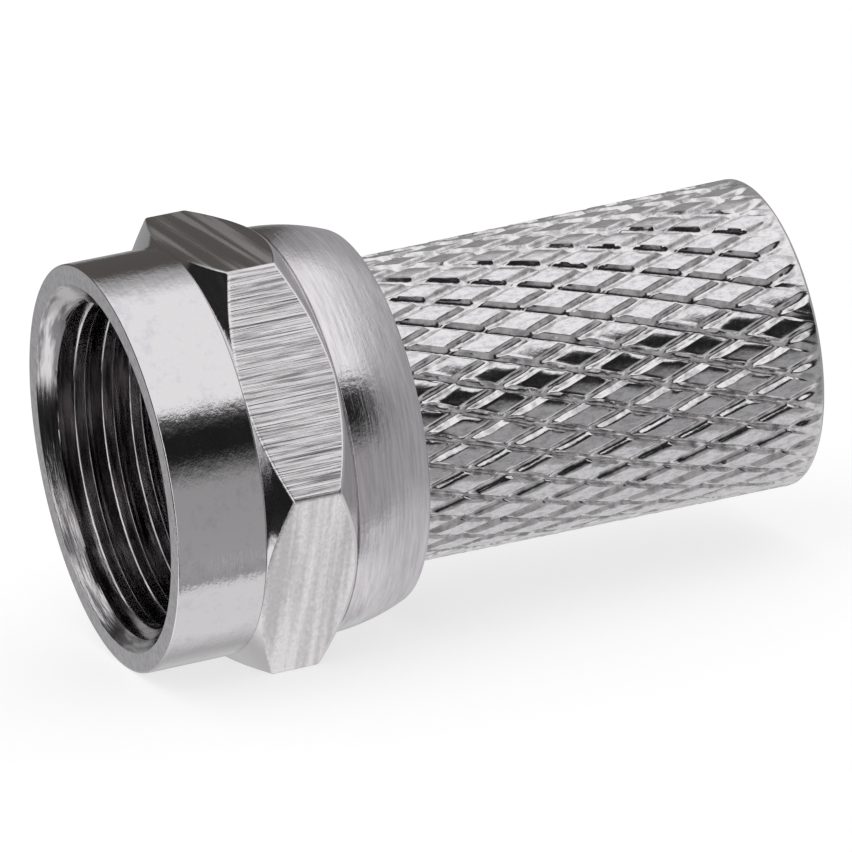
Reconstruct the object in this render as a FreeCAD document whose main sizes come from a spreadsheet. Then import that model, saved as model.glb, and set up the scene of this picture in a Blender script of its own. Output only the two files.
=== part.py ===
import FreeCAD, Part
import math
import os

import Sketcher

# Screw-on coaxial plug for a 7 mm aerial cable, in millimetres.
# +X runs along the plug's axis towards the cable, and +Z is up, square to a flat of the nut.
# The origin is on the axis, at the front face of the sleeve's flange: the socket's end seats there.
# The fine coupling thread and the coarse thread that grips the cable's jacket are left out:
# each bore is plain, at its thread's minor diameter.

doc = FreeCAD.newDocument("coaxial_plug")
sheet = doc.addObject("Spreadsheet::Sheet", "dims")

# Driving dimensions: alias, value, note.
sizes = [
    ("hex_flats", 11.0, "nut, across the flats"),
    ("hex_length", 2.61, "hexagon, along the axis"),
    ("hex_front_bevel", 0.56, "front bevel at the hexagon's corners, along the axis"),
    ("hex_rear_bevel", 0.77, "rear bevel at the hexagon's corners, along the axis"),
    ("bevel_drop", 0.05, "how far below the flats both bevels start"),
    ("thread_minor_dia", 8.8, "coupling thread 3/8-32, minor diameter"),
    ("thread_depth", 5.05, "mouth to the shoulder behind the thread"),
    ("mouth_bevel", 0.54, "at the thread's mouth, radial"),
    ("mouth_bevel_length", 0.4, "the same along the axis"),
    ("mouth_rim", 0.545, "flat rim round the mouth"),
    ("front_collar_length", 2.43, "mouth to hexagon"),
    ("skirt_length", 2.2, "hexagon to the rolled lip's end"),
    ("skirt_wall", 0.6, "wall round the sleeve's flange"),
    ("lip_roll", 5.6, "radius of the skirt's curve as it is rolled in"),
    ("lip_gap", 0.1, "flange's bevel to the lip's inner cone, along the axis"),
    ("seat_gap", 0.05, "thread shoulder to flange, along the axis"),
    ("flange_thickness", 1.2, "sleeve's captive flange"),
    ("flange_bevel", 0.35, "at the flange's rear edge"),
    ("flange_overlap", 0.3, "flange over the lip's hole, radial"),
    ("flange_gap", 0.15, "flange to the nut's bore, radial"),
    ("lip_clearance", 0.6, "lip's hole to the sleeve's neck, radial"),
    ("collar_gap", 0.2, "lip's end to the knurled barrel, along the axis"),
    ("cable_bore_dia", 6.4, "jacket thread, minor diameter"),
    ("lead_in", 0.4, "bevel at the cable bore's mouth, both ways"),
    ("neck_wall", 0.65, "cable bore to the neck's outside"),
    ("barrel_front_wall", 0.93, "cable bore to the knurl's crest, at the nut"),
    ("barrel_rear_wall", 1.03, "the same at the cable's end"),
    ("barrel_length", 11.56, "knurled barrel"),
    ("tail_bevel", 0.1, "outer edge at the cable's end, both ways"),
    ("core_hole_dia", 4.9, "hole for the cable's inner insulation"),
    ("core_hole_length", 1.8, "thickness of the wall that it passes"),
    ("knurl_count", 32, "grooves round the barrel, each hand"),
    ("knurl_row", 1.163, "half a diamond, along the axis"),
    ("knurl_depth", 0.12, "crest to groove"),
    ("knurl_flat", 0.62, "share of a diamond that stays flat on top"),
    ("knurl_phase", 1.1, "degrees, first diamond from +Y towards +Z"),
]
for row, (alias, value, note) in enumerate(sizes, start=1):
    sheet.set(f"A{row}", alias)
    sheet.set(f"B{row}", str(value))
    sheet.set(f"C{row}", note)
    sheet.setAlias(f"B{row}", alias)
doc.recompute()

# Radii, worked out from the cable's bore and the thread outwards.
neck = "(dims.cable_bore_dia / 2 + dims.neck_wall)"
lip_hole = f"({neck} + dims.lip_clearance)"
flange = f"({lip_hole} + dims.flange_overlap)"
flange_bore = f"({flange} + dims.flange_gap)"
skirt = f"({flange_bore} + dims.skirt_wall)"
lip_rim = f"({skirt} - dims.lip_roll + sqrt(dims.lip_roll ^ 2 - dims.skirt_length ^ 2))"
thread = "(dims.thread_minor_dia / 2)"
mouth = f"({thread} + dims.mouth_bevel)"
front_collar = f"({mouth} + dims.mouth_rim)"
hex_corner = "(dims.hex_flats / sqrt(3))"
bevel_root = "(dims.hex_flats / 2 - dims.bevel_drop)"
past_corner = f"({hex_corner} + dims.bevel_drop * 4)"
hex_core = f"(({thread} + dims.hex_flats / 2) / 2)"
crest_front = "(dims.cable_bore_dia / 2 + dims.barrel_front_wall)"
crest_rear = "(dims.cable_bore_dia / 2 + dims.barrel_rear_wall)"

# Places along the nut, from its mouth.
hex_front = "dims.front_collar_length"
hex_rear = "(dims.front_collar_length + dims.hex_length)"
nut_end = f"({hex_rear} + dims.skirt_length)"
seat = "(dims.thread_depth + dims.seat_gap)"
lip_start = f"({seat} + dims.flange_thickness - dims.flange_bevel + dims.lip_gap)"
lip_land = f"({lip_start} + dims.flange_gap + dims.flange_overlap)"

# Places along the sleeve, from its flange's front face.
barrel_start = f"({nut_end} - {seat} + dims.collar_gap)"
barrel_end = f"({barrel_start} + dims.barrel_length)"


def new_sketch(body, name, role):
    sketch = body.newObject("Sketcher::SketchObject", name)
    plane = next(plane for plane in body.Origin.OriginFeatures if plane.Role == role)
    sketch.AttachmentSupport = [(plane, "")]
    sketch.MapMode = "FlatFace"
    return sketch


def size_of(formula):
    return float(sheet.evalExpression(formula.replace("dims.", "")))


def bind(sketch, kind, elements, formula):
    # one dimension of a sketch, worked out from the sheet
    number = sketch.addConstraint(Sketcher.Constraint(kind, *elements, size_of(formula)))
    sketch.setExpression(f"Constraints[{number}]", formula)


def arc_between(start, end, radius):
    # the shorter arc, turning anticlockwise from start to end
    chord = end - start
    inward = FreeCAD.Vector(-chord.y, chord.x, 0).normalize()
    centre = (start + end) * 0.5 + inward * math.sqrt(radius ** 2 - chord.Length ** 2 / 4)
    first = math.atan2(start.y - centre.y, start.x - centre.x)
    last = math.atan2(end.y - centre.y, end.x - centre.x)
    circle = Part.Circle(centre, FreeCAD.Vector(0, 0, 1), radius)
    return Part.ArcOfCircle(circle, first, last)


def draw_section(sketch, corners):
    # A closed half section, anticlockwise. A corner is its place along the axis and its
    # radius, and a third entry is the radius of an arc from it to the next corner.
    first = sketch.GeometryCount
    count = len(corners)
    places = [FreeCAD.Vector(size_of(along), size_of(out), 0) for along, out, *_ in corners]
    for number, (along, out, *roll) in enumerate(corners):
        start, end = places[number], places[(number + 1) % count]
        if roll:
            sketch.addGeometry(arc_between(start, end, size_of(roll[0])))
        else:
            sketch.addGeometry(Part.LineSegment(start, end))
    for number, (along, out, *roll) in enumerate(corners):
        edge, following = first + number, first + (number + 1) % count
        sketch.addConstraint(Sketcher.Constraint("Coincident", edge, 2, following, 1))
        if along == "0":
            sketch.addConstraint(Sketcher.Constraint("PointOnObject", edge, 1, -2))
        else:
            bind(sketch, "DistanceX", (-1, 1, edge, 1), along)
        if out == "0":
            sketch.addConstraint(Sketcher.Constraint("PointOnObject", edge, 1, -1))
        else:
            bind(sketch, "DistanceY", (-1, 1, edge, 1), out)
        if roll:
            bind(sketch, "Radius", (edge,), roll[0])


def revolve(body, kind, name, sketch):
    feature = body.newObject(kind, name)
    feature.Profile = sketch
    feature.ReferenceAxis = (sketch, ["H_Axis"])
    feature.Angle = 360
    doc.recompute()
    return feature


def cut_round(body, name, sketch):
    # a turned cut, which has to take something away
    before = body.Shape.Volume
    revolve(body, "PartDesign::Groove", name, sketch)
    if body.Shape.Volume >= before:
        raise RuntimeError(f"{name} cuts nothing")


# Coupling nut, in its own frame: x = 0 at the mouth.
nut = doc.addObject("PartDesign::Body", "coupling_nut")
nut.Label = "coupling_nut"

# Its two collars are turned, and joined by a core inside the hexagon.
nut_outline = new_sketch(nut, "nut_outline", "XZ_Plane")
draw_section(nut_outline, [
    ("0", "0"),
    (nut_end, "0"),
    (nut_end, lip_rim, "dims.lip_roll"),
    (hex_rear, skirt),
    (hex_rear, hex_core),
    (hex_front, hex_core),
    (hex_front, front_collar),
    ("0", front_collar),
])
revolve(nut, "PartDesign::Revolution", "nut_turning", nut_outline)

# Two of the hexagon's corners lie on +Y and -Y, so that a flat faces down.
hex_outline = new_sketch(nut, "hex_outline", "YZ_Plane")
hex_outline.setExpression(".AttachmentOffset.Base.z", hex_front)
corner_radius = size_of(hex_corner)
corners = [
    FreeCAD.Vector(corner_radius, 0, 0),
    FreeCAD.Vector(corner_radius / 2, size_of("dims.hex_flats / 2"), 0),
    FreeCAD.Vector(-corner_radius / 2, size_of("dims.hex_flats / 2"), 0),
]
corners += [corner * -1 for corner in corners]
for start, end in zip(corners, corners[1:] + corners[:1]):
    hex_outline.addGeometry(Part.LineSegment(start, end))
circle = Part.Circle(FreeCAD.Vector(), FreeCAD.Vector(0, 0, 1), corner_radius)
corner_circle = hex_outline.addGeometry(circle, True)
hex_outline.addConstraint(Sketcher.Constraint("Coincident", corner_circle, 3, -1, 1))
for side in range(6):
    hex_outline.addConstraint(Sketcher.Constraint("Coincident", side, 2, (side + 1) % 6, 1))
    hex_outline.addConstraint(Sketcher.Constraint("PointOnObject", side, 1, corner_circle))
    if side:
        hex_outline.addConstraint(Sketcher.Constraint("Equal", 0, side))
hex_outline.addConstraint(Sketcher.Constraint("PointOnObject", 0, 1, -1))
bind(hex_outline, "Radius", (corner_circle,), hex_corner)

hexagon = nut.newObject("PartDesign::Pad", "hexagon")
hexagon.Profile = hex_outline
hexagon.setExpression("Length", "dims.hex_length")
doc.recompute()

# The hexagon's corners are turned off to a cone at both ends, and each cone runs on past them.
run_on = f"(({past_corner} - {bevel_root}) / ({hex_corner} - {bevel_root}))"
hex_bevels = new_sketch(nut, "hex_bevels", "XZ_Plane")
draw_section(hex_bevels, [
    (hex_front, bevel_root),
    (f"{hex_front} + dims.hex_front_bevel * {run_on}", past_corner),
    (hex_front, past_corner),
])
draw_section(hex_bevels, [
    (hex_rear, bevel_root),
    (hex_rear, past_corner),
    (f"{hex_rear} - dims.hex_rear_bevel * {run_on}", past_corner),
])
cut_round(nut, "hex_bevel_cut", hex_bevels)

# Thread's bore, the wider bore that holds the flange, and the rolled lip's hole.
nut_bores = new_sketch(nut, "nut_bores", "XZ_Plane")
draw_section(nut_bores, [
    ("0", "0"),
    (nut_end, "0"),
    (nut_end, lip_hole),
    (lip_land, lip_hole),
    (lip_start, flange_bore),
    ("dims.thread_depth", flange_bore),
    ("dims.thread_depth", thread),
    ("dims.mouth_bevel_length", thread),
    ("0", mouth),
])
cut_round(nut, "nut_boring", nut_bores)
nut.setExpression(".Placement.Base.x", f"-{seat}")

# Sleeve: flange, neck and barrel turned in one piece, x = 0 at the flange's front face.
# The barrel is turned oversize here, and the knurl below brings it to its real size.
oversize = f"({crest_rear} + dims.knurl_depth)"
turning = doc.addObject("PartDesign::Body", "sleeve_turning")
turning.Label = "sleeve_turning"
sleeve_outline = new_sketch(turning, "sleeve_outline", "XZ_Plane")
draw_section(sleeve_outline, [
    ("0", "dims.core_hole_dia / 2"),
    ("dims.core_hole_length", "dims.core_hole_dia / 2"),
    ("dims.core_hole_length", "dims.cable_bore_dia / 2"),
    (f"{barrel_end} - dims.lead_in", "dims.cable_bore_dia / 2"),
    (barrel_end, "dims.cable_bore_dia / 2 + dims.lead_in"),
    (barrel_end, f"{crest_rear} - dims.tail_bevel"),
    (f"{barrel_end} - dims.tail_bevel - dims.knurl_depth", oversize),
    (barrel_start, oversize),
    (barrel_start, neck),
    ("dims.flange_thickness", neck),
    ("dims.flange_thickness", f"{flange} - dims.flange_bevel"),
    ("dims.flange_thickness - dims.flange_bevel", flange),
    ("0", flange),
])
revolve(turning, "PartDesign::Revolution", "sleeve_ring", sleeve_outline)


def triangle(*points):
    return Part.Face(Part.makePolygon([*points, points[0]]))


def knurled_core(front, length):
    # Left and right hand V grooves cross and leave diamonds, each with a flat on top.
    # Stations along the barrel and steps round it meet by turns in the middle of a diamond
    # and where two grooves cross.
    stations = math.ceil(length / sheet.knurl_row)
    steps = 2 * round(sheet.knurl_count)
    step_angle = 2 * math.pi / steps
    first_angle = math.radians(sheet.knurl_phase)
    flat, depth = sheet.knurl_flat, sheet.knurl_depth
    flare = (size_of(crest_rear) - size_of(crest_front)) / length

    def place(station, step, below_crest):
        along = station * sheet.knurl_row
        radius = size_of(crest_front) + flare * along - below_crest
        angle = first_angle + step * step_angle
        return FreeCAD.Vector(
            front + along, radius * math.cos(angle), radius * math.sin(angle)
        )

    def quarter_diamond(station, step, along, around):
        # a quarter of the flat, and the slope from it down to the groove
        middle = place(station, step, 0)
        end = place(station + along * flat, step, 0)
        side = place(station, step + around * flat, 0)
        end_root = place(station + along, step, depth)
        side_root = place(station, step + around, depth)
        return [
            triangle(middle, end, side),
            triangle(end, end_root, side_root),
            triangle(end, side_root, side),
        ]

    def end_face(station):
        rim = []
        for step in range(steps):
            if (station + step) % 2:
                rim.append(place(station, step, depth))
            else:
                rim += [place(station, step + offset, 0) for offset in (-flat, 0, flat)]
        return triangle(*rim)

    faces = [end_face(0), end_face(stations)]
    for station in range(stations):
        for step in range(steps):
            if (station + step) % 2:
                faces += quarter_diamond(station + 1, step, -1, 1)
                faces += quarter_diamond(station, step + 1, 1, -1)
            else:
                faces += quarter_diamond(station, step, 1, 1)
                faces += quarter_diamond(station + 1, step + 1, -1, -1)
    shell = Part.makeShell(faces)
    shell.sewShape()
    core = Part.makeSolid(shell)
    if core.Volume < 0:
        core.reverse()
    return core, stations * sheet.knurl_row


knurl_start = size_of(barrel_start)
core, knurl_length = knurled_core(knurl_start, size_of("dims.barrel_length"))
ring_start = FreeCAD.Vector(knurl_start, 0, 0)
ring_radius = 2 * size_of(crest_rear)
ring = Part.makeCylinder(ring_radius, knurl_length, ring_start, FreeCAD.Vector(1, 0, 0))
knurl_cutter = doc.addObject("Part::Feature", "knurl_cutter")
knurl_cutter.Label = "knurl_cutter"
knurl_cutter.Shape = ring.cut(core)

sleeve = doc.addObject("Part::Cut", "sleeve")
sleeve.Label = "sleeve"
sleeve.Base = turning
sleeve.Tool = knurl_cutter
doc.recompute()
if sleeve.Shape.Volume >= turning.Shape.Volume:
    raise RuntimeError("the knurl cuts nothing")

# Everything has to be sound before anything is written.
for item in doc.Objects:
    if "Invalid" in item.State or "Error" in item.State:
        raise RuntimeError(f"{item.Name} failed: {item.State}")
pieces = (nut, sleeve)
for piece in pieces:
    shape = piece.Shape
    if shape.isNull() or not shape.isValid() or len(shape.Solids) != 1:
        raise RuntimeError(f"{piece.Label} is not one sound solid")

os.makedirs("parts", exist_ok=True)
for piece in pieces:
    piece.Shape.exportStep(f"parts/{piece.Label}.step")
    box = piece.Shape.BoundBox
    print(
        f"{piece.Label}: {piece.Shape.Volume:.1f} mm3, {len(piece.Shape.Faces)} faces,"
        f" x {box.XMin:.2f} to {box.XMax:.2f}"
    )
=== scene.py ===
import math

import bmesh
import bpy
from mathutils import Matrix, Vector, noise


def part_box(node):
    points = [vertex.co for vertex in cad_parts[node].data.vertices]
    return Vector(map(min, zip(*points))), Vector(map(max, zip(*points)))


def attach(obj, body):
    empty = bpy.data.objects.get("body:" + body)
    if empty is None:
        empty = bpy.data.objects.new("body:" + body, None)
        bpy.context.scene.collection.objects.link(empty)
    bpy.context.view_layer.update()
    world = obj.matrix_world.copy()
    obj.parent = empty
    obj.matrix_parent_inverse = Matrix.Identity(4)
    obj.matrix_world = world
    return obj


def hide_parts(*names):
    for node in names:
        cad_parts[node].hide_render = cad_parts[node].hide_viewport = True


# Screw-on aerial plug: a hexagonal coupling nut that turns on a knurled sleeve, bright nickel plate.
# The plug lies along X, mouth towards -X. Lengths below are in millimetres unless a note says so.

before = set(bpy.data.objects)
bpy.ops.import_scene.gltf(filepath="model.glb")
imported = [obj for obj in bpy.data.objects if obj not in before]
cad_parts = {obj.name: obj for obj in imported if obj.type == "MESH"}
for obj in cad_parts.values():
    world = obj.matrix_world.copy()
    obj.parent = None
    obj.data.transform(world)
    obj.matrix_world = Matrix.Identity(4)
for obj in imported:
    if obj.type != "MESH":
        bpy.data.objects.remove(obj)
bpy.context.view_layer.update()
mm = 0.001
nearly = 0.001  # lengths and shares closer than this count as the same
nutLow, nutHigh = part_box("coupling_nut")
sleeveLow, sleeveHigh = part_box("sleeve")
print("frame loaded")


# Small helpers for turned work

roundingSteps = 3
longestRounding = 0.45  # share of a side that the rounding of a corner may take
supportAt = 1.5  # one more point lies this far from the corner, for one rounding
longestSupport = 0.49  # share of a side, for that point
samePlace = 0.0006 * mm  # points nearer than this become one
shortestEdge = 0.0004 * mm
crispFrom = math.radians(35)  # edges sharper than this stay crisp
crispOnKnurl = math.radians(50)


def onCircle(along, radius, angle):
    return Vector((along * mm, radius * math.cos(angle) * mm, radius * math.sin(angle) * mm))


def ringOf(bm, places):
    return [bm.verts.new(place) for place in places]


def skinBetween(bm, ring, nextRing, finishes):
    # quads from one ring to the next; finishes holds one finish for each column
    count = len(ring)
    for column in range(count):
        after = (column + 1) % count
        face = bm.faces.new((ring[column], nextRing[column], nextRing[after], ring[after]))
        face.material_index = finishes[column]
        face.smooth = True


def softened(corners):
    # rounds the corners of a section; every column gets the same number of points
    points = []
    for number, (along, radius, soft, finish) in enumerate(corners):
        here = Vector((along, radius))
        if soft == 0:
            points.append((here, finish))
            continue
        back = Vector(corners[number - 1][:2]) - here
        ahead = Vector(corners[number + 1][:2]) - here
        reach = min(soft, longestRounding * back.length, longestRounding * ahead.length)
        start = here + back.normalized() * reach
        end = here + ahead.normalized() * reach
        # the supports keep the flat parts flat in the shading
        support = supportAt * reach
        points.append((here + back.normalized() * min(support, longestSupport * back.length), finish))
        for step in range(roundingSteps + 1):
            share = step / roundingSteps
            point = start * (1 - share) ** 2 + here * 2 * share * (1 - share) + end * share ** 2
            points.append((point, finish))
        points.append((here + ahead.normalized() * min(support, longestSupport * ahead.length), finish))
    return points


def threadRadius(thread, along, angle):
    # a right hand inside thread: flat crests at the minor radius, flat roots at the major one
    place = (along - thread["start"] - thread["pitch"] * angle / (2 * math.pi)) % thread["pitch"]
    flank = (thread["pitch"] - thread["crest"] - thread["root"]) / 2
    fromCrest = abs(place - thread["pitch"] / 2)  # root at the middle of the pitch
    height = max(0, (fromCrest - thread["root"] / 2) / flank)
    intoEdge = min(2 * thread["soft"], max(0, height - 1 + thread["soft"]))
    height = min(1 + thread["soft"], height) - intoEdge ** 2 / (4 * thread["soft"])
    return thread["major"] - (thread["major"] - thread["minor"]) * height


def threadSteps(thread):
    # where the rows of a thread lie within one pitch
    half = thread["pitch"] / 2
    root = thread["root"] / 2
    flank = half - thread["crest"] / 2 - root
    soft = thread["soft"]
    inward = [root + flank * share for share in (0, 0.5, 1 - soft, 1 - soft / 3, 1 + soft / 3, 1 + soft)]
    inward.append((inward[-1] + half) / 2)
    return [half - step for step in reversed(inward)] + [half + step for step in inward] + [thread["pitch"]]


def cutThread(bm, angles, thread, fromX, toX, bevelAt, finish):
    # rows follow the helix and stop at both end planes; the last column meets the first a pitch on
    steps = threadSteps(thread)
    perTurn = len(steps)
    firstTurn = math.floor((fromX - thread["start"]) / thread["pitch"]) - 2
    lastTurn = math.ceil((toX - thread["start"]) / thread["pitch"]) + 1
    columns = []
    for angle in angles:
        column = []
        for turn in range(firstTurn, lastTurn + 1):
            for step in steps:
                along = thread["start"] + (turn + angle / (2 * math.pi)) * thread["pitch"] + step
                along = min(toX, max(fromX, along))
                radius = max(threadRadius(thread, along, angle), bevelAt(along))
                column.append(bm.verts.new(onCircle(along, radius, angle)))
        columns.append(column)
    rows = len(columns[0])
    for number, column in enumerate(columns):
        wraps = number == len(columns) - 1
        following = columns[0] if wraps else columns[number + 1]
        shift = perTurn if wraps else 0
        for row in range(rows - 1 - shift):
            face = bm.faces.new((column[row], following[row + shift],
                                 following[row + shift + 1], column[row + 1]))
            face.material_index = finish
            face.smooth = True


def asPiece(bm, name, finishes, knurled=()):
    # closes the seams and makes an object; knurled lists the finishes of a knurl
    bmesh.ops.remove_doubles(bm, verts=bm.verts, dist=samePlace)
    bmesh.ops.dissolve_degenerate(bm, edges=bm.edges, dist=shortestEdge)
    bmesh.ops.recalc_face_normals(bm, faces=bm.faces)
    for edge in bm.edges:
        onKnurl = all(face.material_index in knurled for face in edge.link_faces)
        edge.smooth = edge.calc_face_angle(0) < (crispOnKnurl if onKnurl else crispFrom)
    mesh = bpy.data.meshes.new(name)
    bm.to_mesh(mesh)
    bm.free()
    for finish in finishes:
        mesh.materials.append(finish)
    piece = bpy.data.objects.new(name, mesh)
    bpy.context.scene.collection.objects.link(piece)
    weights = piece.modifiers.new("crispShading", "WEIGHTED_NORMAL")
    weights.keep_sharp = True
    return piece


# Nickel finishes

nickelColour = (0.73, 0.71, 0.725, 1)


class Finish:
    # a nickel material, with helpers for lines and mottling worked on it
    def __init__(self, name, roughness):
        self.material = bpy.data.materials.new(name)
        self.material.use_nodes = True
        self.nodes = self.material.node_tree.nodes
        self.links = self.material.node_tree.links
        self.shader = self.nodes["Principled BSDF"]
        self.shader.inputs["Base Color"].default_value = nickelColour
        self.shader.inputs["Metallic"].default_value = 1
        self.shader.inputs["Roughness"].default_value = roughness
        self.place = self.nodes.new("ShaderNodeTexCoord").outputs["Object"]
        self.height = None

    def noise(self, perMillimetre, detail=2, roughness=0.5, turn=0):
        # noise with its own density along X, Y and Z
        mapping = self.nodes.new("ShaderNodeMapping")
        mapping.inputs["Scale"].default_value = [density / mm for density in perMillimetre]
        if turn:
            spin = self.nodes.new("ShaderNodeVectorRotate")
            spin.rotation_type = "X_AXIS"
            spin.inputs["Angle"].default_value = turn
            self.links.new(self.place, spin.inputs["Vector"])
            self.links.new(spin.outputs["Vector"], mapping.inputs["Vector"])
        else:
            self.links.new(self.place, mapping.inputs["Vector"])
        texture = self.nodes.new("ShaderNodeTexNoise")
        texture.inputs["Scale"].default_value = 1
        texture.inputs["Detail"].default_value = detail
        texture.inputs["Roughness"].default_value = roughness
        self.links.new(mapping.outputs["Vector"], texture.inputs["Vector"])
        return texture.outputs["Fac"]

    def spread(self, value, low, high, fromLow=0.3, fromHigh=0.7):
        # maps a noise value to a range
        reach = self.nodes.new("ShaderNodeMapRange")
        reach.inputs["From Min"].default_value = fromLow
        reach.inputs["From Max"].default_value = fromHigh
        reach.inputs["To Min"].default_value = low
        reach.inputs["To Max"].default_value = high
        self.links.new(value, reach.inputs["Value"])
        return reach.outputs["Result"]

    def blended(self, first, second, share):
        # share is how much of the second value is mixed in
        blend = self.nodes.new("ShaderNodeMix")
        blend.inputs["Factor"].default_value = share
        self.links.new(first, blend.inputs["A"])
        self.links.new(second, blend.inputs["B"])
        return blend.outputs["Result"]

    def roughen(self, value, low, high, fromLow=0.3, fromHigh=0.7):
        # roughness from low to high as the value goes from fromLow to fromHigh
        self.links.new(self.spread(value, low, high, fromLow, fromHigh), self.shader.inputs["Roughness"])

    def relief(self, value, depth):
        # depth in millimetres; each relief lies on the one before
        bump = self.nodes.new("ShaderNodeBump")
        bump.inputs["Strength"].default_value = 1
        bump.inputs["Distance"].default_value = depth * mm
        self.links.new(value, bump.inputs["Height"])
        if self.height:
            self.links.new(self.height, bump.inputs["Normal"])
        self.height = bump.outputs["Normal"]
        self.links.new(self.height, self.shader.inputs["Normal"])

    def tint(self, value, dark, light, fromLow=0.3, fromHigh=0.7):
        # colour from dark to light, the same way
        blend = self.nodes.new("ShaderNodeMix")
        blend.data_type = "RGBA"
        blend.inputs["A"].default_value = dark
        blend.inputs["B"].default_value = light
        self.links.new(self.spread(value, 0, 1, fromLow, fromHigh), blend.inputs["Factor"])
        self.links.new(blend.outputs["Result"], self.shader.inputs["Base Color"])

    def turned(self, anisotropy):
        # the lathe's marks run round the axis
        grain = self.nodes.new("ShaderNodeTangent")
        grain.direction_type = "RADIAL"
        grain.axis = "X"
        self.shader.inputs["Anisotropic"].default_value = anisotropy
        self.links.new(grain.outputs["Tangent"], self.shader.inputs["Tangent"])


def collarFinish():
    # bright and smooth, with faint lathe lines and a few duller spots
    finish = Finish("nickelTurnedBright", 0.05)
    finish.turned(0.3)
    lines = finish.noise((8, 0.25, 0.25), detail=4, roughness=0.6)
    finish.roughen(finish.noise((1.6, 0.8, 0.8), detail=5, roughness=0.7), 0.02, 0.08)
    finish.relief(lines, 0.009)
    finish.relief(finish.noise((2.2, 1.4, 1.4), detail=5, roughness=0.7), 0.014)
    spots = finish.noise((1.6, 1.4, 1.4), detail=5, roughness=0.75)
    finish.tint(spots, (0.64, 0.625, 0.66, 1), nickelColour, 0.34, 0.48)
    return finish.material


def skirtFinish():
    # brightest beside the hexagon, duller towards the lip
    finish = Finish("nickelBrushed", 0.26)
    finish.turned(0.2)
    parts = finish.nodes.new("ShaderNodeSeparateXYZ")
    finish.links.new(finish.place, parts.inputs["Vector"])
    finish.roughen(parts.outputs["X"], 0.09, 0.36, 0.5 * mm, 1.2 * mm)
    lines = finish.noise((11, 0.8, 0.8), detail=4, roughness=0.65)
    finish.relief(lines, 0.009)
    finish.tint(lines, (0.62, 0.6, 0.62, 1), (0.8, 0.775, 0.8, 1), 0.34, 0.62)
    finish.relief(finish.noise((6, 5, 5), detail=4, roughness=0.7), 0.01)
    return finish.material


def rippledFinish():
    # shallow waves that the cutter left across a facet
    finish = Finish("nickelMilledRipples", 0.2)
    ripples = finish.noise((2.5, 0.05, 0.05), detail=1)
    finish.relief(ripples, 0.03)
    finish.roughen(finish.noise((3.1, 0.1, 0.1), detail=3), 0.12, 0.38, 0.42, 0.6)
    finish.relief(finish.noise((9, 0.9, 0.9), detail=4, roughness=0.7), 0.004)
    return finish.material


def linedFinish():
    # fine scores along the axis; turned so that Z runs across the facet that faces 150 degrees
    turn = math.radians(-150)
    finish = Finish("nickelMilledLines", 0.22)
    lines = finish.noise((0.25, 0.4, 18), detail=3, roughness=0.55, turn=turn)
    finish.relief(lines, 0.011)
    scores = finish.noise((0.5, 0.4, 14), detail=3, roughness=0.6, turn=turn)
    finish.tint(scores, (0.3, 0.29, 0.3, 1), (0.78, 0.76, 0.775, 1), 0.36, 0.52)
    finish.relief(finish.noise((5, 5, 5), detail=3), 0.004)
    return finish.material


def mottledFinish():
    # pale bands across the axis, softly grained
    finish = Finish("nickelMilledSoft", 0.22)
    grain = finish.noise((12, 6, 6), detail=4)
    bands = finish.blended(finish.noise((2.4, 0.1, 0.1), detail=2), grain, 0.2)
    finish.tint(bands, (0.66, 0.64, 0.65, 1), (0.96, 0.94, 0.95, 1), 0.4, 0.56)
    finish.relief(finish.noise((8, 5, 5), detail=5, roughness=0.7), 0.03)
    return finish.material


def bevelFinish():
    # turned smooth; also the sleeve's flange, neck and ends
    finish = Finish("nickelBevel", 0.07)
    finish.turned(0.2)
    lines = finish.noise((12, 0.4, 0.4), detail=2)
    finish.relief(lines, 0.0015)
    finish.relief(finish.noise((2, 2, 2), detail=3), 0.006)
    return finish.material


def rimFinish():
    finish = Finish("nickelRim", 0.14)
    finish.relief(finish.noise((1, 1.6, 1.6), detail=4, roughness=0.6), 0.012)
    spots = finish.noise((2, 5, 5), detail=4, roughness=0.7)
    finish.tint(spots, (0.6, 0.58, 0.61, 1), (0.8, 0.78, 0.8, 1), 0.36, 0.6)
    return finish.material


def threadFinish():
    # lines round the bore; the bore and thread are tinted darker all over with mottled noise, partly painted
    # shade of the deep bore and partly stains
    finish = Finish("nickelThread", 0.14)
    finish.relief(finish.noise((10, 0.4, 0.4), detail=4, roughness=0.65), 0.011)
    # painted shade: this dark mottled tint darkens the whole bore and thread, with stains in the mottling
    stainsAndShade = finish.noise((5, 0.5, 0.5), detail=3, roughness=0.6)
    finish.tint(stainsAndShade, (0.22, 0.21, 0.22, 1), (0.68, 0.66, 0.67, 1), 0.4, 0.56)
    return finish.material


def padFinish():
    finish = Finish("nickelKnurlPads", 0.1)
    grain = finish.noise((7, 7, 7), detail=4, roughness=0.65)
    finish.relief(grain, 0.005)
    finish.roughen(grain, 0.05, 0.17)
    specks = finish.noise((4, 9, 9), detail=4, roughness=0.7)
    finish.tint(specks, (0.55, 0.54, 0.555, 1), (0.8, 0.78, 0.8, 1), 0.34, 0.56)
    return finish.material


def grooveFinish():
    finish = Finish("nickelKnurlGrooves", 0.12)
    finish.tint(finish.noise((4, 4, 4), detail=4), (0.48, 0.47, 0.48, 1), (0.82, 0.8, 0.81, 1), 0.36, 0.58)
    finish.relief(finish.noise((8, 8, 8), detail=4, roughness=0.65), 0.005)
    return finish.material


# Coupling nut

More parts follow.
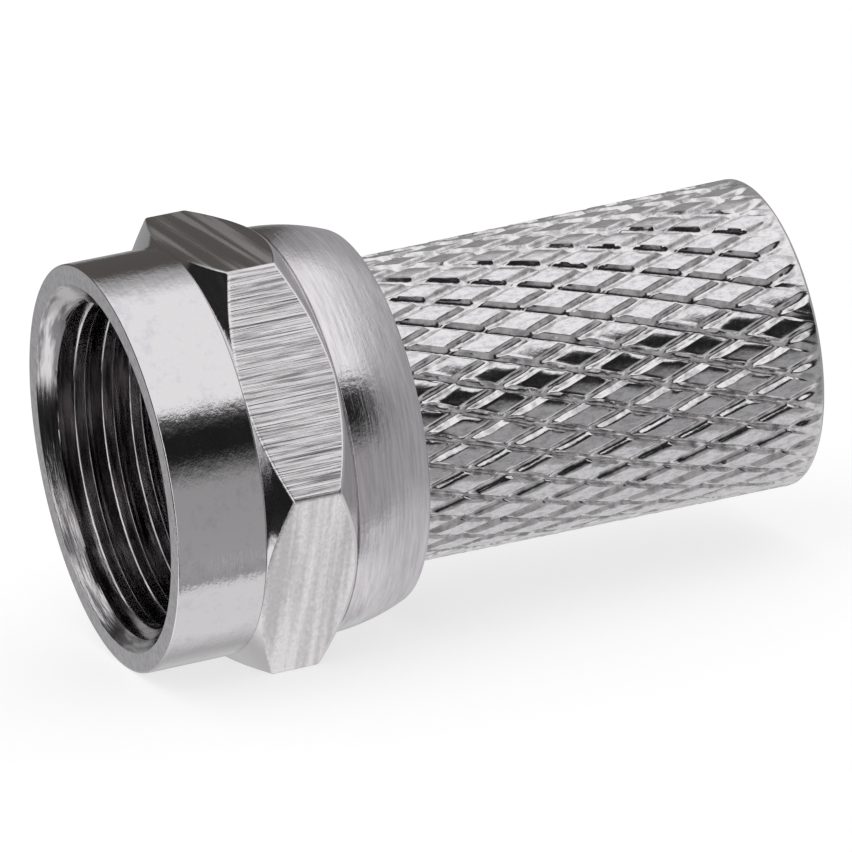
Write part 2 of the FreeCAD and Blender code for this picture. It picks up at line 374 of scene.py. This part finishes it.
nut = {
    "acrossFlats": (nutHigh.z - nutLow.z) / mm,
    "mouth": nutLow.x / mm,
    "end": nutHigh.x / mm,
    "frontCollar": 2.43,  # mouth to hexagon
    "hexagon": 2.61,  # along the axis
    "frontBevel": 0.56,  # at the corners, along the axis
    "rearBevel": 0.77,
    "bevelDrop": 0.05,  # how far below the flats both bevels start
    "highCorner": math.radians(60),  # this corner stands out more than the others
    "highBy": 0.13,
    "cornerRounding": 0.12,  # radius along the hexagon's six edges
    "collarRadius": 5.485,
    "skirtRadius": 5.5,
    "skirtRoll": 5.6,  # radius of the curve that is rolled in
    "skirtSteps": 14,
    "lipHole": 4.45,
    "lipLand": 0.74,  # the straight part of the lip's hole
    "lipRounding": 0.1,  # of its outer edge
    "flangeBore": 4.9,
    "mouthBevel": 0.54,  # radial
    "mouthBevelLength": 0.4,
    "threadDepth": 5.05,  # mouth to the shoulder behind the thread
    "edge": 0.05,  # how far the plating rounds an edge
    "columnsPerSide": 48,
}
couplingThread = {
    "pitch": 25.4 / 32,
    "minor": 4.4,
    "major": 4.76,
    "crest": 0.31,  # width of the flat on top
    "root": 0.07,
    "soft": 0.1,  # rounding of the crest's edges, as a share of the flank
    "start": nut["mouth"] + 0.21,
}
halfSide = math.pi / 6  # half of one side of the hexagon, as an angle


def edgeReach():
    # how far the rounding of a hexagon edge reaches to each side of it, as an angle
    flat = nut["acrossFlats"] / 2
    return halfSide - math.atan(math.tan(halfSide) * (1 - nut["cornerRounding"] / flat))


def nutColumns():
    # even columns, and a few more that carry the rounding of each hexagon edge
    tangent = math.degrees(edgeReach())
    spacing = 60 / nut["columnsPerSide"]
    offsets = [0, tangent / 2, tangent]
    offsets += [spacing * number for number in range(1, nut["columnsPerSide"])]
    offsets += [60 - tangent, 60 - tangent / 2]
    return [math.radians(60 * side + offset) for side in range(6) for offset in offsets]


def hexagonRadius(angle):
    # flats with rounded edges between them, and one corner lifted
    flat = nut["acrossFlats"] / 2
    rounding = nut["cornerRounding"]
    fromCorner = (angle + halfSide) % (2 * halfSide) - halfSide
    middle = (flat - rounding) / math.cos(halfSide)
    fromHigh = abs(angle - nut["highCorner"]) / (2 * halfSide)
    lift = nut["highBy"] * max(0, 1 - fromHigh) * math.cos(halfSide) / math.cos(halfSide - abs(fromCorner))
    if abs(fromCorner) < edgeReach():
        across = middle * math.sin(fromCorner)
        return lift + middle * math.cos(fromCorner) + math.sqrt(rounding ** 2 - across ** 2)
    return lift + flat / math.cos(halfSide - abs(fromCorner))


def buildNut():
    facetFinishes = ["mottled", "rippled", "lined"]  # facing 30, 90 and 150 degrees, then again
    slots = ["collar", "bevel", "skirt", "rim", "thread", "bore"] + facetFinishes
    mouth, end, edge = nut["mouth"], nut["end"], nut["edge"]
    hexFront = mouth + nut["frontCollar"]
    hexRear = hexFront + nut["hexagon"]
    flat = nut["acrossFlats"] / 2
    corner = flat / math.cos(halfSide)
    root = flat - nut["bevelDrop"]
    shoulder = mouth + nut["threadDepth"]
    mouthRadius = couplingThread["minor"] + nut["mouthBevel"]
    lipLand = end - nut["lipLand"]
    lipStart = lipLand - (nut["flangeBore"] - nut["lipHole"])
    angles = nutColumns()

    def skirtCurve(along):
        roll = nut["skirtRoll"]
        return nut["skirtRadius"] - roll + math.sqrt(roll ** 2 - (along - hexRear) ** 2)

    def section(angle):
        # mouth to lip along the outside, then back inside to the thread's shoulder
        outer = hexagonRadius(angle)
        rise = (outer - root) / (corner - root)
        skirtSteps = nut["skirtSteps"]
        skirtPlaces = [hexRear + (end - hexRear) * step / skirtSteps for step in range(1, skirtSteps)]
        corners = [
            (mouth, mouthRadius, 0, "rim"),
            (mouth, nut["collarRadius"], edge, "collar"),
            (hexFront, nut["collarRadius"], edge / 2, "bevel"),
            (hexFront, root, 0, "bevel"),
            (hexFront + nut["frontBevel"] * rise, outer, edge, "facet"),
            (hexRear - nut["rearBevel"] * rise, outer, edge, "bevel"),
            (hexRear, root, 0, "skirt"),
            (hexRear, nut["skirtRadius"], edge / 2, "skirt"),
        ]
        corners += [(place, skirtCurve(place), 0, "skirt") for place in skirtPlaces]
        corners += [
            (end, skirtCurve(end), nut["lipRounding"], "skirt"),
            (end, nut["lipHole"], edge, "bore"),
            (lipLand, nut["lipHole"], 0, "bore"),
            (lipStart, nut["flangeBore"], 0, "bore"),
            (shoulder, nut["flangeBore"], 0, "bore"),
            (shoulder, threadRadius(couplingThread, shoulder, angle), 0, "bore"),
        ]
        return softened(corners)

    sections = [section(angle) for angle in angles]
    perSide = len(angles) // 6
    bm = bmesh.new()
    rings = []
    for row in range(len(sections[0])):
        places = [onCircle(*sections[column][row][0], angle) for column, angle in enumerate(angles)]
        rings.append(ringOf(bm, places))
    for row in range(len(rings) - 1):
        finish = sections[0][row][1]
        if finish == "facet":
            named = [facetFinishes[column // perSide % 3] for column in range(len(angles))]
        else:
            named = [finish] * len(angles)
        skinBetween(bm, rings[row], rings[row + 1], [slots.index(name) for name in named])

    def mouthCone(along):
        return mouthRadius - (along - mouth) * nut["mouthBevel"] / nut["mouthBevelLength"]

    cutThread(bm, angles, couplingThread, mouth, shoulder, mouthCone, slots.index("thread"))
    materials = {
        "collar": collarFinish(),
        "bevel": bevelFinish(),
        "skirt": skirtFinish(),
        "rim": rimFinish(),
        "thread": threadFinish(),
        "bore": threadFinish(),
        "mottled": mottledFinish(),
        "rippled": rippledFinish(),
        "lined": linedFinish(),
    }
    piece = asPiece(bm, "nutShell", [materials[name] for name in slots])
    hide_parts("coupling_nut")
    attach(piece, "nut")
    return piece


nutShell = buildNut()
print("coupling nut built:", len(nutShell.data.polygons), "faces")


# Sleeve

sleeve = {
    "end": sleeveHigh.x / mm,
    "flange": 4.75,
    "flangeThickness": 1.2,
    "flangeBevel": 0.35,
    "neck": 3.85,
    "barrelLength": 11.56,
    "crestFront": 4.13,
    "crestRear": 4.23,
    "tailRounding": 0.1,
    "tailSteps": (0, 0.35, 0.65, 0.88),  # shares of that rounding where rows lie
    "edge": 0.06,  # how far the plating rounds the flange's edges
    "leadIn": 0.4,
    "coreHole": 2.45,
    "coreWall": 1.8,
    "columns": 192,
}
jacketThread = {
    "pitch": 1.25,
    "minor": 3.2,
    "major": 3.48,
    "crest": 0.3,
    "root": 0.2,
    "soft": 0.12,
    "start": 2.0,
}
knurl = {
    "grooves": 32,  # round the barrel, each hand
    "row": 1.163,  # half a diamond, along the axis
    "depth": 0.14,
    "phase": math.radians(1.1),
    # shares of a diamond, from its middle: where the flat ends and where the groove's floor starts
    "edge": 0.26,
    "foot": 0.42,
    "kink": 0.26,  # from here up the flat leans back a little
    "kinkDrop": 0.018,
    "wall": 0.455,  # the upper side ends in a steep wall
    "wallFoot": 0.495,
    "foreSlope": 0.78,  # drop over a whole diamond
    "foreFoot": 0.49,
    "shallower": 0.5,  # the rising grooves lose this much of their depth at each diamond's lower end
    "shallowFrom": 0.45,
    "ragged": 0.03,
    "raggedGrain": 6000,  # how fine, per metre
    "burr": 0.013,  # raised along the lower edge of a flat
    "burrAt": 0.255,
    "burrMean": 0.6,  # added to the noise, so that most of the burr is there
    "burrGrain": 4000,
    "lean": 0.012,  # how far a flat leans, for one diamond
    "leanGrain": 3100,
    "seed": 5,  # keeps the diamonds' leans the same each time
    "polished": 0.01,  # faces less deep than this have the flats' finish
    "fadeRising": (0.55, 0.1),  # the grooves run out this far from the cable's end
    "fadeLevel": (1.3, 0.3),
}


def risingDepth(v):
    # depth of the rising grooves beside a diamond
    return knurl["depth"] * (1 - knurl["shallower"] * min(1, max(0, v / knurl["shallowFrom"])))


def foreEdge(v):
    # where the fore slope starts
    return knurl["foreFoot"] - risingDepth(v) / knurl["foreSlope"]


def padDrop(u, v):
    # depths below the crest for the rising and the level groove; u and v run from -0.5 to 0.5
    slope = knurl["depth"] / (knurl["foot"] - knurl["edge"])
    rising = max(0, slope * (u - knurl["edge"]), knurl["foreSlope"] * (-u - foreEdge(v)))
    below = slope * (v - knurl["edge"])
    wall, atWall = knurl["wall"], knurl["kinkDrop"]
    leaning = atWall * (-v - knurl["kink"]) / (wall - knurl["kink"])
    steep = atWall + (knurl["depth"] - atWall) * (-v - wall) / (knurl["wallFoot"] - wall)
    level = max(0, below, steep if -v > wall else leaning)
    return min(rising, risingDepth(v)), min(level, knurl["depth"])


def knurlSkin(bm, barrelStart, padSlot, grooveSlot):
    # the rows follow the grooves of both hands, so every diamond has the same clean outline
    foreFoot = knurl["foreFoot"]
    ahead = [0, 0.14, 0.225, knurl["burrAt"], 0.33, knurl["foot"], foreFoot]
    risingSteps = ahead + [1 - step for step in (foreFoot, 0.41, foreEdge(0), 0.29, 0.16)]
    levelSteps = ahead + [1 - step for step in (knurl["wallFoot"], knurl["wall"], 0.43, knurl["kink"], 0.13)]
    rowsRising, rowsLevel = len(risingSteps), len(levelSteps)
    grooves = knurl["grooves"]
    stations = math.ceil(sleeve["barrelLength"] / knurl["row"]) + 1
    stepAngle = math.pi / grooves
    flare = (sleeve["crestRear"] - sleeve["crestFront"]) / sleeve["barrelLength"]

    def fade(toEnd, fading):
        # 1 along the barrel, down to 0 near the cable's end
        share = min(1, max(0, (toEnd - fading[1]) / (fading[0] - fading[1])))
        return share * share * (3 - 2 * share)

    def place(first, second):
        # p and q count the grooves of each hand; u and v are what is left over from a diamond's middle
        p = first // rowsRising + risingSteps[first % rowsRising]
        q = second // rowsLevel + levelSteps[second % rowsLevel]
        u, v = p - round(p), q - round(q)
        if u < 0:  # the rows beside the fore slope follow its edge
            pull = min(-u / foreEdge(0), (foreFoot + u) / (foreFoot - foreEdge(0)))
            shift = max(0, pull) * (foreEdge(v) - foreEdge(0))
            p, u = p - shift, u - shift
        return p, q, u, v

    noise.seed_set(knurl["seed"])
    verts = {}

    def corner(first, second):
        # the point where two rows cross; once round the barrel it is the same point again
        turns = first // (grooves * rowsRising)
        key = (first - turns * grooves * rowsRising, second - turns * grooves * rowsLevel)
        if key not in verts:
            p, q, u, v = place(*key)
            along = (p - q) * knurl["row"]
            angle = knurl["phase"] + (p + q) * stepAngle
            crest = sleeve["crestFront"] + flare * along
            here = onCircle(barrelStart + along, crest, angle)
            nicks = noise.noise(here * knurl["raggedGrain"]) * knurl["ragged"]
            rising, level = padDrop(u + nicks, v - nicks)
            toEnd = sleeve["barrelLength"] - along
            drop = max(rising * fade(toEnd, knurl["fadeRising"]), level * fade(toEnd, knurl["fadeLevel"]))
            middle = onCircle((round(p) - round(q)) * knurl["row"], crest, (round(p) + round(q)) * stepAngle)
            lean = noise.noise_vector(middle * knurl["leanGrain"])
            drop = min(drop, knurl["depth"])
            drop += (lean.x * u + lean.y * v) * knurl["lean"] * (1 - drop / knurl["depth"])
            if abs(v - knurl["burrAt"]) < nearly and abs(u) < knurl["edge"]:
                drop -= knurl["burr"] * max(0, knurl["burrMean"] + noise.noise(here * knurl["burrGrain"]))
            verts[key] = bm.verts.new(onCircle(barrelStart + along, crest - drop, angle))
        return verts[key]

    for first in range(grooves * rowsRising):
        turn = first // rowsRising
        for second in range((turn - stations) * rowsLevel, (turn + 2) * rowsLevel):
            face = bm.faces.new((corner(first, second), corner(first + 1, second),
                                 corner(first + 1, second + 1), corner(first, second + 1)))
            inner, outer = place(first, second), place(first + 1, second + 1)
            drops = padDrop((inner[2] + outer[2]) / 2, (inner[3] + outer[3]) / 2)
            onPad = max(drops) < knurl["polished"] and outer[2] > inner[2] and outer[3] > inner[3]
            face.material_index = padSlot if onPad else grooveSlot
            face.smooth = True


def cutAcross(bm, along, keep):
    # cuts the skin square to the axis; keep is +1 or -1 for the side that stays, 0 for both
    bmesh.ops.bisect_plane(
        bm, geom=bm.verts[:] + bm.edges[:] + bm.faces[:], dist=0.00001 * mm,
        plane_co=(along * mm, 0, 0), plane_no=(1, 0, 0),
        clear_inner=keep > 0, clear_outer=keep < 0)


def edgeRing(bm, along):
    # the open edge at one end, sorted by angle
    ring = [vert for vert in bm.verts if vert.is_boundary and abs(vert.co.x - along * mm) < nearly * mm]
    return sorted(ring, key=lambda vert: math.atan2(vert.co.z, vert.co.y) % (2 * math.pi))


def faceBetween(bm, outer, inner, finish):
    # flat ring between two loops with different counts, both sorted by angle
    def turn(ring, number):
        vert = ring[number % len(ring)]
        return math.atan2(vert.co.z, vert.co.y) % (2 * math.pi) + 2 * math.pi * (number // len(ring))

    outside, inside = 0, 0
    while outside < len(outer) or inside < len(inner):
        here, there = outer[outside % len(outer)], inner[inside % len(inner)]
        outerNext = inside >= len(inner) or (
            outside < len(outer) and turn(outer, outside + 1) < turn(inner, inside + 1))
        if outerNext:
            outside += 1
            face = bm.faces.new((here, outer[outside % len(outer)], there))
        else:
            inside += 1
            face = bm.faces.new((here, inner[inside % len(inner)], there))
        face.material_index = finish
        face.smooth = True


def buildSleeve():
    slots = ["pads", "grooves", "turned", "bore"]
    end = sleeve["end"]
    barrelStart = end - sleeve["barrelLength"]
    rounding = sleeve["tailRounding"]
    roundingStart = end - rounding
    bm = bmesh.new()
    knurlSkin(bm, barrelStart, slots.index("pads"), slots.index("grooves"))
    cutAcross(bm, barrelStart, 1)
    cutAcross(bm, end, -1)
    for share in sleeve["tailSteps"]:
        cutAcross(bm, roundingStart + rounding * share, 0)
    for vert in bm.verts:
        into = min(rounding, vert.co.x / mm - roundingStart)
        if into > 0:
            radius = math.hypot(vert.co.y, vert.co.z)
            limit = (sleeve["crestRear"] - rounding + math.sqrt(rounding ** 2 - into ** 2)) * mm
            vert.co.y *= min(1, limit / radius)
            vert.co.z *= min(1, limit / radius)
    for face in bm.faces:
        if face.calc_center_median().x > roundingStart * mm:
            face.material_index = slots.index("turned")
    knurlFront, knurlEnd = edgeRing(bm, barrelStart), edgeRing(bm, end)

    angles = [2 * math.pi * column / sleeve["columns"] for column in range(sleeve["columns"])]
    softEdge = sleeve["edge"]
    front = [
        (0, sleeve["coreHole"], softEdge, "turned"),
        (0, sleeve["flange"], softEdge, "turned"),
        (sleeve["flangeThickness"] - sleeve["flangeBevel"], sleeve["flange"], softEdge, "turned"),
        (sleeve["flangeThickness"], sleeve["flange"] - sleeve["flangeBevel"], 0, "turned"),
        (sleeve["flangeThickness"], sleeve["neck"], 0, "turned"),
        (barrelStart, sleeve["neck"], 0, "turned"),
    ]

    def section(angle):
        # from the jacket thread's inner end through the core's hole, then the flange and neck outside
        wallRadius = threadRadius(jacketThread, sleeve["coreWall"], angle)
        return softened([
            (sleeve["coreWall"], wallRadius, 0, "bore"),
            (sleeve["coreWall"], sleeve["coreHole"], softEdge, "bore"),
        ] + front)

    sections = [section(angle) for angle in angles]
    rings = []
    for row in range(len(sections[0])):
        places = [onCircle(*sections[column][row][0], angle) for column, angle in enumerate(angles)]
        rings.append(ringOf(bm, places))
    for row in range(len(rings) - 1):
        finish = slots.index(sections[0][row][1])
        skinBetween(bm, rings[row], rings[row + 1], [finish] * len(angles))
    faceBetween(bm, knurlFront, rings[-1], slots.index("turned"))

    mouthRadius = jacketThread["minor"] + sleeve["leadIn"]
    tailRing = ringOf(bm, [onCircle(end, mouthRadius, angle) for angle in angles])
    faceBetween(bm, knurlEnd, tailRing, slots.index("turned"))

    def leadCone(along):
        return mouthRadius - (end - along)

    cutThread(bm, angles, jacketThread, sleeve["coreWall"], end, leadCone, slots.index("bore"))
    materials = {
        "pads": padFinish(),
        "grooves": grooveFinish(),
        "turned": bevelFinish(),
        "bore": threadFinish(),
    }
    knurled = (slots.index("pads"), slots.index("grooves"))
    piece = asPiece(bm, "sleeveShell", [materials[name] for name in slots], knurled)
    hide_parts("sleeve")
    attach(piece, "sleeve")
    return piece


sleeveShell = buildSleeve()
print("sleeve built:", len(sleeveShell.data.polygons), "faces")


# Studio: pale floor, softbox overhead, and the bright and dark fields that polished metal mirrors

studio = {
    "floorHeight": nutLow.z,
    "floorSize": 1.5,  # metres
    "floorColour": (0.9, 0.9, 0.9, 1),
    "floorGlow": 1.3,  # only for the camera, so that the floor reads as white and keeps its shadow
    "floorGlowShare": 0.5,
    "lampPower": 0.12,  # watts
    "lampSize": 0.3,  # metres
    "lampPlace": (-0.05, -0.08, 0.3),
    "plainLevel": 0.75,  # what lights everything evenly
    # what polished metal sees round the plug's axis: degrees above the camera's side, level
    "roundTheAxis": [
        (-180, 0.3), (-165, 0.38), (-143, 0.6), (-123, 0.45), (-103, 0.8), (-64, 0.8), (-61, 0.3),
        (-57, 0.4), (-43, 0.4), (-3, 0.37), (8, 0.1), (13, 0.015), (28, 0.015), (35, 0.12),
        (41, 1.0), (115, 1.0), (126, 0.6), (137, 0.36), (165, 0.33), (180, 0.3),
    ],
    # the same on the mouth's side, by height; the dark part rises in an arch towards the far side
    "beforeTheMouth": [
        (-1.2, 1.0), (-0.6, 1.0), (-0.54, 0.03), (-0.4, 0.015), (0.075, 0.02), (0.105, 0.95), (1.2, 1.0),
    ],
    "arch": (0.75, -0.9),  # y * (0.75 * y - 0.9) is added to the height
    "mouthSide": (-0.36, -0.6),  # along X, from where it starts to where it is full
    "behindTheCable": 0.42,
    "cableSide": (0.5, 0.75),
    # cards that only polished metal sees; soft gives an axis and where the card starts and is full
    "cards": [
        {
            "name": "cardBehindNut",
            "corners": [(-26, 30, 5.5), (15, 30, 5.5), (15, 30, 36), (-26, 30, 36)],
            "soft": [("X", 15, 12), ("Z", 36, 27)],
            "colour": (1.0, 0.93, 0.88, 1),
            "level": 0.1,
        },
        {
            "name": "cardBelowBarrel",
            "corners": [(11, -30, -30), (50, -30, -30), (50, 30, -30), (11, 30, -30)],
            "soft": [("X", 11, 15)],
            "colour": (1, 1, 1, 1),
            "level": 0.7,
        },
    ],
}


def ramped(nodes, links, value, stops):
    # a colour ramp over a value's own range
    fromLow, fromHigh = stops[0][0], stops[-1][0]
    share = nodes.new("ShaderNodeMapRange")
    share.inputs["From Min"].default_value = fromLow
    share.inputs["From Max"].default_value = fromHigh
    links.new(value, share.inputs["Value"])
    ramp = nodes.new("ShaderNodeValToRGB")
    elements = ramp.color_ramp.elements
    while len(elements) < len(stops):
        elements.new(0.5)
    for element, (place, level) in zip(elements, stops):
        element.position = (place - fromLow) / (fromHigh - fromLow)
        element.color = (level, level, level, 1)
    links.new(share.outputs["Result"], ramp.inputs["Fac"])
    return ramp.outputs["Color"]


def eased(nodes, links, value, fromLow, fromHigh):
    # 0 to 1 without a hard edge
    share = nodes.new("ShaderNodeMapRange")
    share.interpolation_type = "SMOOTHSTEP"
    share.inputs["From Min"].default_value = fromLow
    share.inputs["From Max"].default_value = fromHigh
    links.new(value, share.inputs["Value"])
    return share.outputs["Result"]


def between(nodes, links, share, first, second):
    # mixes two levels; the second may be a plain number
    mix = nodes.new("ShaderNodeMix")
    mix.data_type = "RGBA"
    links.new(share, mix.inputs["Factor"])
    links.new(first, mix.inputs["A"])
    if isinstance(second, float):
        mix.inputs["B"].default_value = (second, second, second, 1)
    else:
        links.new(second, mix.inputs["B"])
    return mix.outputs["Result"]


def buildWorld():
    world = bpy.data.worlds.new("studioLight")
    bpy.context.scene.world = world
    world.use_nodes = True
    nodes, links = world.node_tree.nodes, world.node_tree.links
    nodes.clear()
    direction = nodes.new("ShaderNodeTexCoord")
    parts = nodes.new("ShaderNodeSeparateXYZ")
    links.new(direction.outputs["Generated"], parts.inputs["Vector"])
    towardsCamera = nodes.new("ShaderNodeMath")
    towardsCamera.operation = "MULTIPLY"
    towardsCamera.inputs[1].default_value = -1
    links.new(parts.outputs["Y"], towardsCamera.inputs[0])
    turn = nodes.new("ShaderNodeMath")
    turn.operation = "ARCTAN2"
    links.new(parts.outputs["Z"], turn.inputs[0])
    links.new(towardsCamera.outputs[0], turn.inputs[1])
    degrees = nodes.new("ShaderNodeMath")
    degrees.operation = "DEGREES"
    links.new(turn.outputs[0], degrees.inputs[0])

    around = ramped(nodes, links, degrees.outputs[0], studio["roundTheAxis"])
    bend = nodes.new("ShaderNodeMath")
    bend.operation = "MULTIPLY_ADD"
    bend.inputs[1].default_value, bend.inputs[2].default_value = studio["arch"]
    links.new(parts.outputs["Y"], bend.inputs[0])
    bent = nodes.new("ShaderNodeMath")
    bent.operation = "MULTIPLY_ADD"
    links.new(parts.outputs["Y"], bent.inputs[0])
    links.new(bend.outputs[0], bent.inputs[1])
    links.new(parts.outputs["Z"], bent.inputs[2])
    before = ramped(nodes, links, bent.outputs[0], studio["beforeTheMouth"])
    fore = eased(nodes, links, parts.outputs["X"], *studio["mouthSide"])
    aft = eased(nodes, links, parts.outputs["X"], *studio["cableSide"])
    level = between(nodes, links, fore, around, before)
    level = between(nodes, links, aft, level, studio["behindTheCable"])

    def background(level):
        shade = nodes.new("ShaderNodeBackground")
        shade.inputs["Strength"].default_value = level
        shade.inputs["Color"].default_value = (1, 1, 1, 1)
        return shade

    plain = background(studio["plainLevel"])
    white = background(1)
    mirrored = background(1)
    links.new(level, mirrored.inputs["Color"])
    rays = nodes.new("ShaderNodeLightPath")
    glossy = nodes.new("ShaderNodeMixShader")
    links.new(rays.outputs["Is Glossy Ray"], glossy.inputs[0])
    links.new(plain.outputs[0], glossy.inputs[1])
    links.new(mirrored.outputs[0], glossy.inputs[2])
    seen = nodes.new("ShaderNodeMixShader")
    links.new(rays.outputs["Is Camera Ray"], seen.inputs[0])
    links.new(glossy.outputs[0], seen.inputs[1])
    links.new(white.outputs[0], seen.inputs[2])
    output = nodes.new("ShaderNodeOutputWorld")
    links.new(seen.outputs[0], output.inputs["Surface"])


def buildCard(card):
    # a sheet that glows, for mirrored rays only
    bm = bmesh.new()
    bm.faces.new([bm.verts.new(Vector(corner) * mm) for corner in card["corners"]])
    mesh = bpy.data.meshes.new(card["name"])
    bm.to_mesh(mesh)
    bm.free()
    sheet = bpy.data.objects.new(card["name"], mesh)
    bpy.context.scene.collection.objects.link(sheet)
    sheet.visible_camera = False
    sheet.visible_diffuse = False
    sheet.visible_shadow = False
    paper = bpy.data.materials.new(card["name"])
    paper.use_nodes = True
    nodes, links = paper.node_tree.nodes, paper.node_tree.links
    nodes.clear()
    place = nodes.new("ShaderNodeTexCoord")
    parts = nodes.new("ShaderNodeSeparateXYZ")
    links.new(place.outputs["Object"], parts.inputs["Vector"])
    clear = nodes.new("ShaderNodeBsdfTransparent")
    shade = nodes.new("ShaderNodeEmission")
    shade.inputs["Color"].default_value = card["colour"]
    shade.inputs["Strength"].default_value = card["level"]
    seen = shade.outputs[0]
    for axis, begins, full in card["soft"]:
        blend = nodes.new("ShaderNodeMixShader")
        links.new(eased(nodes, links, parts.outputs[axis], begins * mm, full * mm), blend.inputs[0])
        links.new(clear.outputs[0], blend.inputs[1])
        links.new(seen, blend.inputs[2])
        seen = blend.outputs[0]
    output = nodes.new("ShaderNodeOutputMaterial")
    links.new(seen, output.inputs["Surface"])
    mesh.materials.append(paper)


def buildFloor():
    bm = bmesh.new()
    bmesh.ops.create_grid(bm, x_segments=1, y_segments=1, size=studio["floorSize"])
    mesh = bpy.data.meshes.new("floor")
    bm.to_mesh(mesh)
    bm.free()
    mesh.transform(Matrix.Translation((0, 0, studio["floorHeight"])))
    floor = bpy.data.objects.new("floor", mesh)
    bpy.context.scene.collection.objects.link(floor)
    floor.visible_glossy = False
    paint = bpy.data.materials.new("paleFloor")
    paint.use_nodes = True
    nodes, links = paint.node_tree.nodes, paint.node_tree.links
    nodes.clear()
    matt = nodes.new("ShaderNodeBsdfDiffuse")
    matt.inputs["Color"].default_value = studio["floorColour"]
    glow = nodes.new("ShaderNodeEmission")
    rays = nodes.new("ShaderNodeLightPath")
    share = nodes.new("ShaderNodeMath")
    share.operation = "MULTIPLY"
    share.inputs[1].default_value = studio["floorGlowShare"]
    links.new(rays.outputs["Is Camera Ray"], share.inputs[0])
    blend = nodes.new("ShaderNodeMixShader")
    links.new(share.outputs[0], blend.inputs[0])
    links.new(matt.outputs[0], blend.inputs[1])
    links.new(glow.outputs[0], blend.inputs[2])
    glow.inputs["Strength"].default_value = studio["floorGlow"]
    output = nodes.new("ShaderNodeOutputMaterial")
    links.new(blend.outputs[0], output.inputs["Surface"])
    mesh.materials.append(paint)


def buildLamp():
    light = bpy.data.lights.new("softbox", "AREA")
    light.energy = studio["lampPower"]
    light.size = studio["lampSize"]
    lamp = bpy.data.objects.new("softbox", light)
    bpy.context.scene.collection.objects.link(lamp)
    lamp.location = studio["lampPlace"]
    lamp.rotation_euler = (-lamp.location).to_track_quat("-Z", "Y").to_euler()
    lamp.visible_glossy = False


# the camera, fitted to the photo's rims, hexagon corners and outline
view = {
    "place": (-69.46, -195.12, 59.98),
    "right": (0.9208, -0.3775, -0.0983),
    "ahead": (0.3386, 0.8986, -0.2793),
    "lens": 344.0,
    "film": 36,
    "nearest": 0.01,  # metres
}


def buildCamera():
    camera = bpy.data.cameras.new("camera")
    camera.lens = view["lens"]
    camera.sensor_width = view["film"]
    camera.clip_start = view["nearest"]
    seat = bpy.data.objects.new("camera", camera)
    bpy.context.scene.collection.objects.link(seat)
    ahead = Vector(view["ahead"]).normalized()
    right = Vector(view["right"])
    right = (right - ahead * right.dot(ahead)).normalized()
    up = right.cross(ahead)
    turn = Matrix((right, up, -ahead)).transposed()
    seat.matrix_world = Matrix.Translation(Vector(view["place"]) * mm) @ turn.to_4x4()
    bpy.context.scene.camera = seat


buildWorld()
buildFloor()
for card in studio["cards"]:
    buildCard(card)
buildLamp()
buildCamera()
bpy.context.scene.view_settings.view_transform = "Standard"
print("studio ready")
